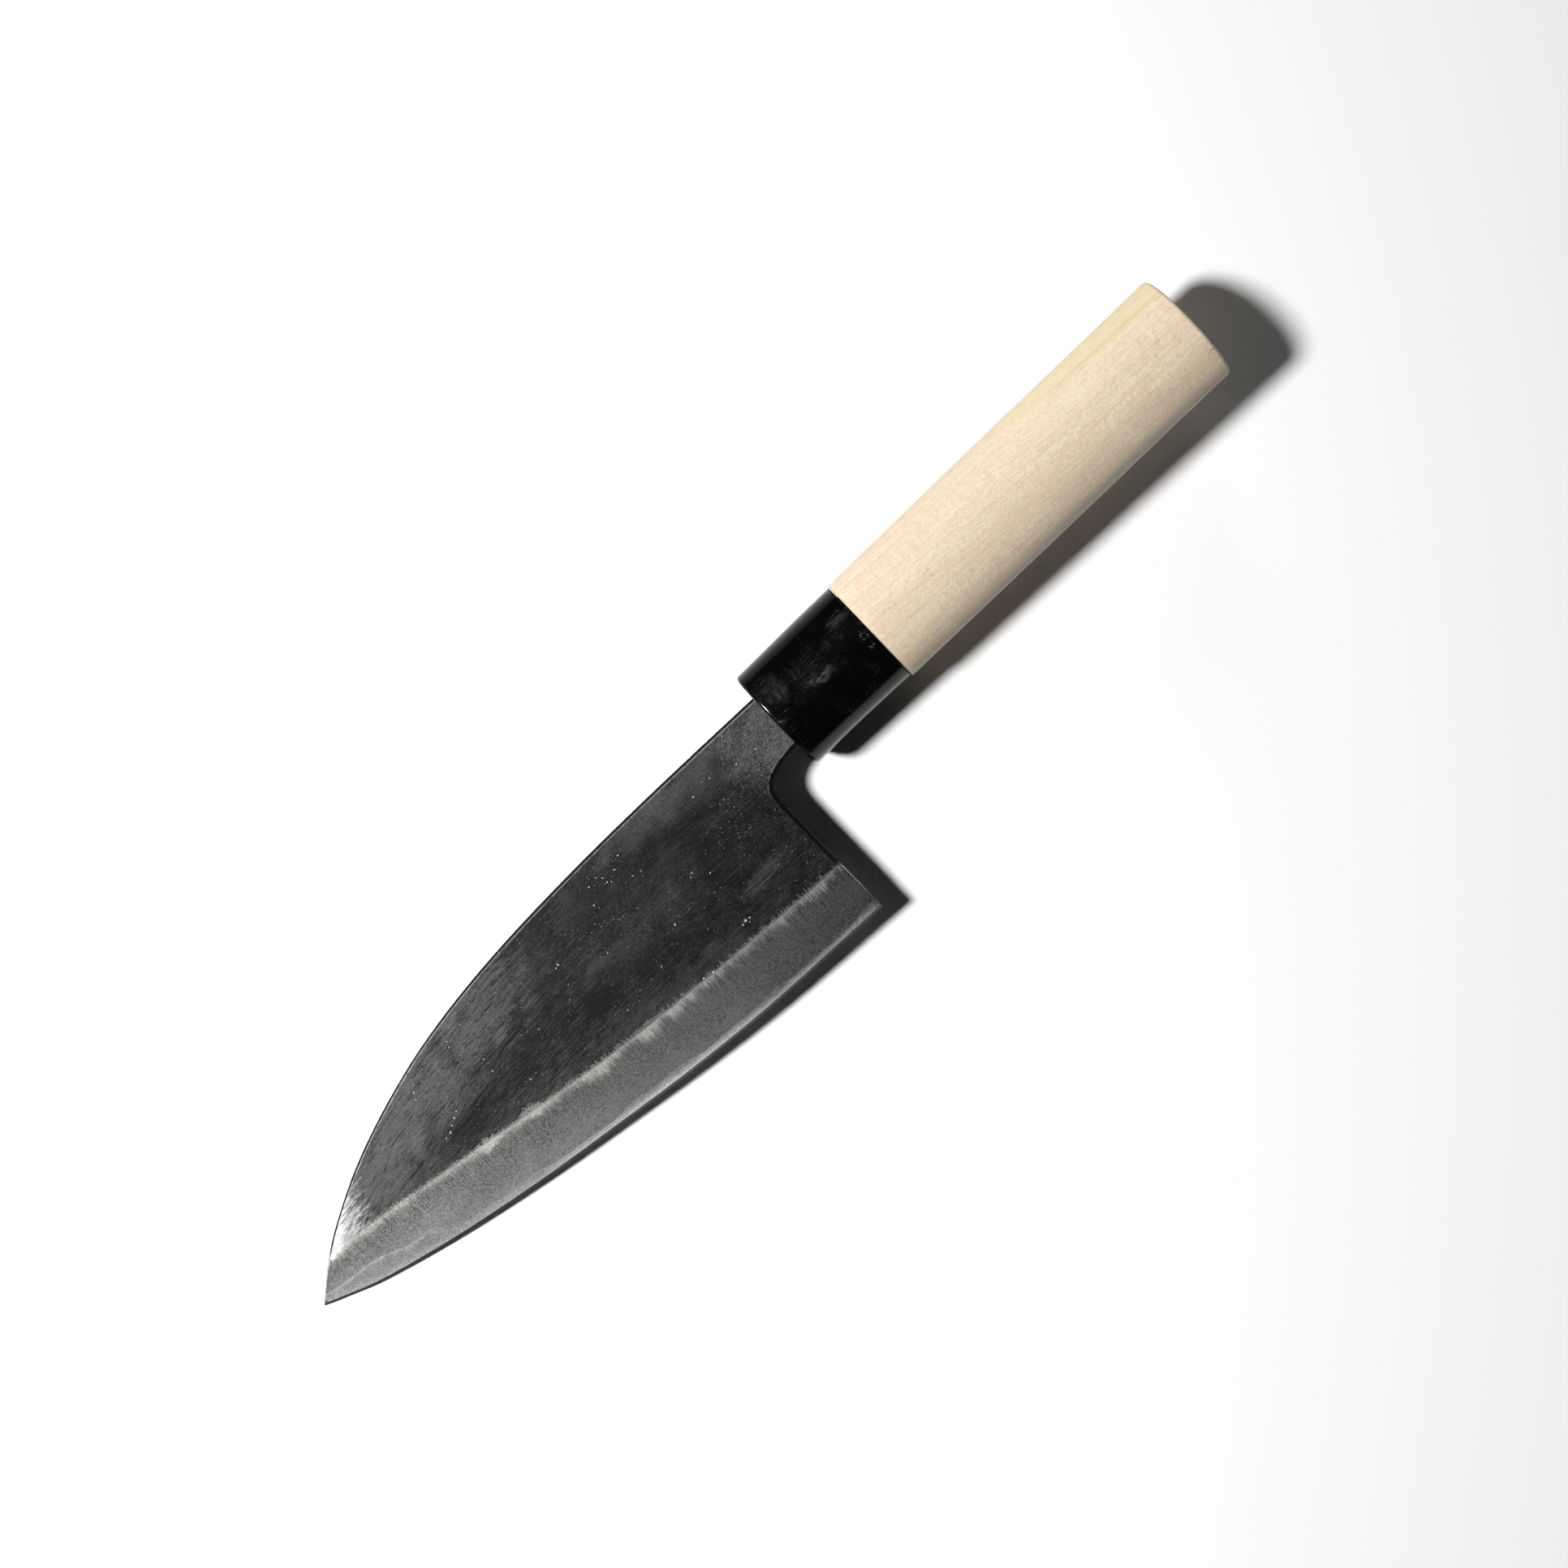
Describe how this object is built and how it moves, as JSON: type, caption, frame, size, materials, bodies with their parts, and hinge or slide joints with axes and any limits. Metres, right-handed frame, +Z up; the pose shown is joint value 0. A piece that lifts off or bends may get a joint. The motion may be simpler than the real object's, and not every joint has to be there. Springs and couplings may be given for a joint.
{
  "type": "japanese boning knife",
  "caption": "Black-forged fish-boning knife with a laminated double-bevel blade, hidden tang, black ferrule and plain oval wooden handle, lying on its side.",
  "frame": {"origin": "centre of the knife's box as it lies, on the plane of the table", "axes": "+X along the knife from butt to tip, +Y from the spine side to the cutting edge side, +Z up, out of the left face"},
  "size_m": [0.2832, 0.0584, 0.0277],
  "materials": {
    "forge_scale_left": "soft iron: dark forge scale on the flat, bare satin metal on the bevel",
    "edge_steel": "hard high-carbon steel, satin ground at the edge, scaled on the spine and tang",
    "forge_scale_right": "soft iron: dark forge scale on the flat, bare satin metal on the bevel",
    "ferrule_black": "polished black resin or horn, lightly smeared",
    "handle_wood": "bare pale magnolia-like wood, fine straight grain, sanded"
  },
  "bodies": {
    "root": {"left_cladding": "forge_scale_left", "core_steel": "edge_steel", "right_cladding": "forge_scale_right", "ferrule": "ferrule_black", "handle": "handle_wood"}
  },
  "joints": []
}
